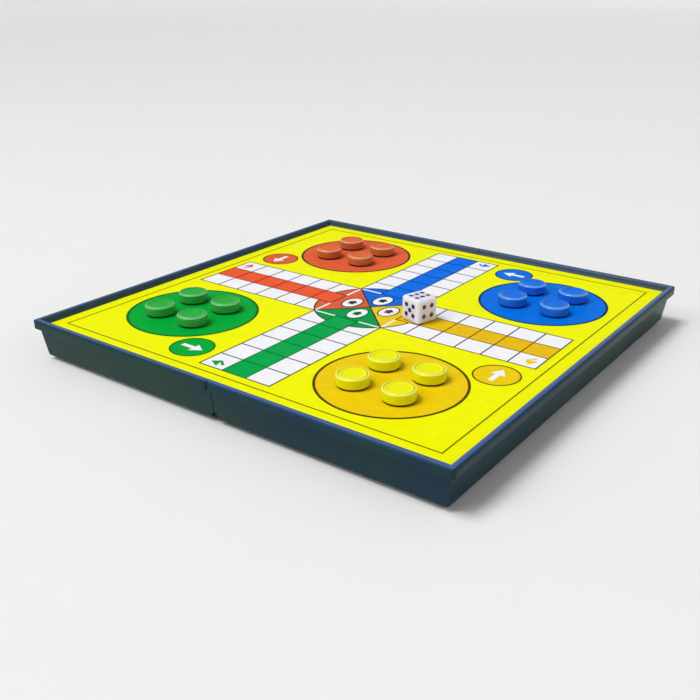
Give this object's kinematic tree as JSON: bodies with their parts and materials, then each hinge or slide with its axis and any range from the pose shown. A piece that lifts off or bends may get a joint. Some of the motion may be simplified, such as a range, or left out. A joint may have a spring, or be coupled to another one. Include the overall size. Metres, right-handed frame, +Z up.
{
  "type": "folding ludo board box",
  "caption": "Square magnetic ludo board that folds along its middle into a shallow two-part case, with storage under both halves, round magnetic pawns and a die.",
  "frame": {"origin": "on the table under the middle of the fold line, the centre of the open board's footprint", "axes": "+Z up; Y along the fold line; +X across the right half, which turns down and under the left half"},
  "size_m": [0.15, 0.15, 0.0195],
  "materials": {
    "case_plastic": "moulded, satin to glossy",
    "steel_sheet": "bright tinplate",
    "vinyl_sheet": "smooth vinyl",
    "steel_pin": "drawn wire",
    "yellow_ink": "printed, glossy",
    "white_ink": "printed, glossy",
    "green_ink": "printed, glossy",
    "red_ink": "printed, glossy",
    "blue_ink": "printed, glossy",
    "gold_ink": "printed, glossy",
    "line_ink": "printed, glossy",
    "green_pawn": "moulded, glossy",
    "red_pawn": "moulded, glossy",
    "blue_pawn": "moulded, glossy",
    "yellow_pawn": "moulded, glossy",
    "magnet": "sintered, matt",
    "die_plastic": "moulded, glossy",
    "blue_pip_paint": "painted",
    "red_pip_paint": "painted"
  },
  "bodies": {
    "left_half": {"left_shell": "case_plastic", "left_steel_plate": "steel_sheet", "left_play_sheet": "vinyl_sheet", "front_hinge_pin": "steel_pin", "rear_hinge_pin": "steel_pin", "left_yellow_print": "yellow_ink", "left_white_print": "white_ink", "left_green_print": "green_ink", "left_red_print": "red_ink", "left_blue_print": "blue_ink", "left_line_print": "line_ink"},
    "right_half": {"right_shell": "case_plastic", "right_steel_plate": "steel_sheet", "right_play_sheet": "vinyl_sheet", "right_yellow_print": "yellow_ink", "right_white_print": "white_ink", "right_green_print": "green_ink", "right_blue_print": "blue_ink", "right_gold_print": "gold_ink", "right_line_print": "line_ink"},
    "green_pawn_1": {"green_pawn_1": "green_pawn", "green_pawn_1_magnet": "magnet"},
    "green_pawn_2": {"green_pawn_2": "green_pawn", "green_pawn_2_magnet": "magnet"},
    "green_pawn_3": {"green_pawn_3": "green_pawn", "green_pawn_3_magnet": "magnet"},
    "green_pawn_4": {"green_pawn_4": "green_pawn", "green_pawn_4_magnet": "magnet"},
    "red_pawn_1": {"red_pawn_1": "red_pawn", "red_pawn_1_magnet": "magnet"},
    "red_pawn_2": {"red_pawn_2": "red_pawn", "red_pawn_2_magnet": "magnet"},
    "red_pawn_3": {"red_pawn_3": "red_pawn", "red_pawn_3_magnet": "magnet"},
    "red_pawn_4": {"red_pawn_4": "red_pawn", "red_pawn_4_magnet": "magnet"},
    "blue_pawn_1": {"blue_pawn_1": "blue_pawn", "blue_pawn_1_magnet": "magnet"},
    "blue_pawn_2": {"blue_pawn_2": "blue_pawn", "blue_pawn_2_magnet": "magnet"},
    "blue_pawn_3": {"blue_pawn_3": "blue_pawn", "blue_pawn_3_magnet": "magnet"},
    "blue_pawn_4": {"blue_pawn_4": "blue_pawn", "blue_pawn_4_magnet": "magnet"},
    "yellow_pawn_1": {"yellow_pawn_1": "yellow_pawn", "yellow_pawn_1_magnet": "magnet"},
    "yellow_pawn_2": {"yellow_pawn_2": "yellow_pawn", "yellow_pawn_2_magnet": "magnet"},
    "yellow_pawn_3": {"yellow_pawn_3": "yellow_pawn", "yellow_pawn_3_magnet": "magnet"},
    "yellow_pawn_4": {"yellow_pawn_4": "yellow_pawn", "yellow_pawn_4_magnet": "magnet"},
    "die": {"die": "die_plastic", "die_blue_pips": "blue_pip_paint", "die_red_pips": "red_pip_paint"}
  },
  "joints": [
    {"name": "fold", "type": "hinge", "parent": "left_half", "child": "right_half", "pos_m": [0, 0, 0.00125], "axis": [0, 1, 0], "range_deg": [0, 180]},
    {"name": "lift_green_pawn_1", "type": "slide", "parent": "left_half", "child": "green_pawn_1", "axis": [0, 0, 1], "range_m": [0, 0.02]},
    {"name": "lift_green_pawn_2", "type": "slide", "parent": "left_half", "child": "green_pawn_2", "axis": [0, 0, 1], "range_m": [0, 0.02]},
    {"name": "lift_green_pawn_3", "type": "slide", "parent": "left_half", "child": "green_pawn_3", "axis": [0, 0, 1], "range_m": [0, 0.02]},
    {"name": "lift_green_pawn_4", "type": "slide", "parent": "left_half", "child": "green_pawn_4", "axis": [0, 0, 1], "range_m": [0, 0.02]},
    {"name": "lift_red_pawn_1", "type": "slide", "parent": "left_half", "child": "red_pawn_1", "axis": [0, 0, 1], "range_m": [0, 0.02]},
    {"name": "lift_red_pawn_2", "type": "slide", "parent": "left_half", "child": "red_pawn_2", "axis": [0, 0, 1], "range_m": [0, 0.02]},
    {"name": "lift_red_pawn_3", "type": "slide", "parent": "left_half", "child": "red_pawn_3", "axis": [0, 0, 1], "range_m": [0, 0.02]},
    {"name": "lift_red_pawn_4", "type": "slide", "parent": "left_half", "child": "red_pawn_4", "axis": [0, 0, 1], "range_m": [0, 0.02]},
    {"name": "lift_blue_pawn_1", "type": "slide", "parent": "right_half", "child": "blue_pawn_1", "axis": [0, 0, 1], "range_m": [0, 0.02]},
    {"name": "lift_blue_pawn_2", "type": "slide", "parent": "right_half", "child": "blue_pawn_2", "axis": [0, 0, 1], "range_m": [0, 0.02]},
    {"name": "lift_blue_pawn_3", "type": "slide", "parent": "right_half", "child": "blue_pawn_3", "axis": [0, 0, 1], "range_m": [0, 0.02]},
    {"name": "lift_blue_pawn_4", "type": "slide", "parent": "right_half", "child": "blue_pawn_4", "axis": [0, 0, 1], "range_m": [0, 0.02]},
    {"name": "lift_yellow_pawn_1", "type": "slide", "parent": "right_half", "child": "yellow_pawn_1", "axis": [0, 0, 1], "range_m": [0, 0.02]},
    {"name": "lift_yellow_pawn_2", "type": "slide", "parent": "right_half", "child": "yellow_pawn_2", "axis": [0, 0, 1], "range_m": [0, 0.02]},
    {"name": "lift_yellow_pawn_3", "type": "slide", "parent": "right_half", "child": "yellow_pawn_3", "axis": [0, 0, 1], "range_m": [0, 0.02]},
    {"name": "lift_yellow_pawn_4", "type": "slide", "parent": "right_half", "child": "yellow_pawn_4", "axis": [0, 0, 1], "range_m": [0, 0.02]},
    {"name": "lift_die", "type": "slide", "parent": "right_half", "child": "die", "axis": [0, 0, 1], "range_m": [0, 0.02]}
  ]
}
